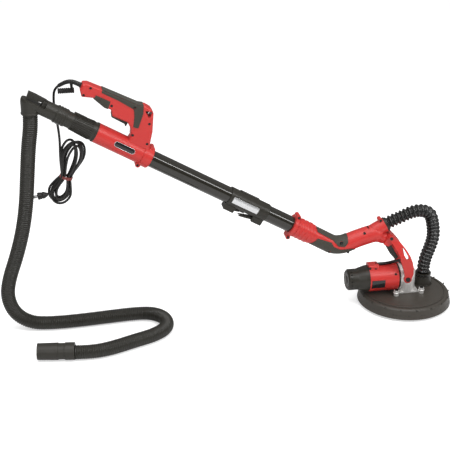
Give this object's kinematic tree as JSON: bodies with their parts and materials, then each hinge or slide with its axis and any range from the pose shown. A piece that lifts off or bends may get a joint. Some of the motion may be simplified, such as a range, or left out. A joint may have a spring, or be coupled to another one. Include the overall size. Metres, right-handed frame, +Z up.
{
  "type": "pole drywall sander",
  "caption": "Long-reach drywall sander: round shrouded sanding head on a swivelling fork, bent neck, jointed pole, D-handle with trigger, dust duct, vacuum hose and tied power cord.",
  "frame": {"origin": "centre of the sanding face, on the floor", "axes": "+Z up; the pole rises towards -X in the X-Z plane"},
  "size_m": [1.1923, 0.2983, 0.6652],
  "materials": {
    "red_plastic": "moulded nylon, light texture",
    "black_plastic": "moulded, fine texture",
    "dark_plastic": "moulded, fine texture",
    "shroud_plastic": "moulded, satin",
    "grip_rubber": "overmoulded soft grip",
    "tube_black": "gloss black",
    "cast_aluminium": "cast",
    "steel": "zinc plated",
    "abrasive": "hook and loop abrasive",
    "foam": "soft foam",
    "bristle": "nylon bristle",
    "badge_dark": "bare plate",
    "plate_silver": "bare plate",
    "hose_black": "ribbed",
    "duct_black": "corrugated",
    "cuff_grey": "moulded",
    "cable_black": "cable jacket",
    "tie_red": "wire tie"
  },
  "bodies": {
    "frame": {"front_pole": "tube_black", "rear_pole": "tube_black", "clamp_sleeve": "black_plastic", "clamp_plate": "plate_silver", "latch_pins": "steel", "neck_shell": "red_plastic", "neck_screws": "steel", "neck_grip_top": "grip_rubber", "neck_grip_low": "grip_rubber", "handle_shell_near": "red_plastic", "handle_shell_far": "red_plastic", "handle_screws": "steel", "handle_badge": "badge_dark", "grip_cover": "grip_rubber", "switch_block": "dark_plastic", "trigger_pin": "steel", "rear_sleeve": "dark_plastic", "hose_elbow": "dark_plastic", "elbow_latch_pin": "steel", "vacuum_hose": "hose_black", "hose_cuff": "cuff_grey", "cord_boot": "cable_black", "power_cord": "cable_black", "cord_hank": "cable_black", "cord_tie": "tie_red", "plug": "cable_black"},
    "fork": {"fork_arm_near": "red_plastic", "fork_arm_far": "red_plastic", "fork_hub": "red_plastic", "fork_bolts": "steel", "tilt_pins": "steel", "fork_cover": "dark_plastic", "duct_upper": "duct_black", "duct_lower": "duct_black"},
    "head": {"shroud": "shroud_plastic", "brush_ring": "bristle", "dust_port": "black_plastic", "hub_plate": "cast_aluminium", "hub_screws": "steel", "gear_housing": "cast_aluminium", "motor_housing": "red_plastic", "motor_badge": "badge_dark", "motor_ring": "black_plastic", "motor_cap": "black_plastic", "motor_cable": "cable_black", "stator": "steel"},
    "pad": {"abrasive_disc": "abrasive", "foam_layer": "foam", "backing_pad": "dark_plastic", "pad_bolt": "steel", "spindle": "steel", "bevel_gear": "steel"},
    "rotor": {"armature": "steel", "pinion": "steel", "fan": "dark_plastic"},
    "trigger": {"trigger": "black_plastic"},
    "dial": {"speed_dial": "dark_plastic"},
    "front_latch": {"front_latch": "black_plastic"},
    "rear_latch": {"rear_latch": "black_plastic"},
    "elbow_latch": {"elbow_latch": "black_plastic"}
  },
  "joints": [
    {"name": "fork_roll", "type": "hinge", "parent": "frame", "child": "fork", "pos_m": [-0.067, 0, 0.1935], "axis": [0.9063, 0, -0.4226], "range_deg": [-15, 15], "deforming": ["duct_upper"]},
    {"name": "head_tilt", "type": "hinge", "parent": "fork", "child": "head", "pos_m": [-0.0065, 0, 0.0845], "axis": [0, 1, 0], "range_deg": [-30, 20], "deforming": ["duct_lower"]},
    {"name": "pad_spin", "type": "hinge", "parent": "head", "child": "pad", "pos_m": [0, 0, 0], "axis": [0, 0, 1], "continuous": true},
    {"name": "rotor_spin", "type": "hinge", "parent": "head", "child": "rotor", "pos_m": [0, 0, 0.076], "axis": [1, 0, 0], "continuous": true},
    {"name": "trigger_pull", "type": "hinge", "parent": "frame", "child": "trigger", "pos_m": [-0.76305, 0, 0.58316], "axis": [0, 1, 0], "range_deg": [-5, 0], "stiffness_Nm_per_rad": 0.5},
    {"name": "dial_turn", "type": "hinge", "parent": "frame", "child": "dial", "pos_m": [-0.68504, 0, 0.58027], "axis": [0, 1, 0], "range_deg": [0, 300]},
    {"name": "front_latch_swing", "type": "hinge", "parent": "frame", "child": "front_latch", "pos_m": [-0.42083, 0, 0.27589], "axis": [0, 1, 0], "range_deg": [-70, 0]},
    {"name": "rear_latch_swing", "type": "hinge", "parent": "frame", "child": "rear_latch", "pos_m": [-0.47378, 0, 0.30818], "axis": [0, 1, 0], "range_deg": [0, 70]},
    {"name": "elbow_latch_press", "type": "hinge", "parent": "frame", "child": "elbow_latch", "pos_m": [-0.92316, 0, 0.61383], "axis": [0, 1, 0], "range_deg": [-4, 0], "stiffness_Nm_per_rad": 2}
  ],
  "couplings": [
    {"joint": "rotor_spin", "follows": "pad_spin", "ratio": 2.5}
  ]
}
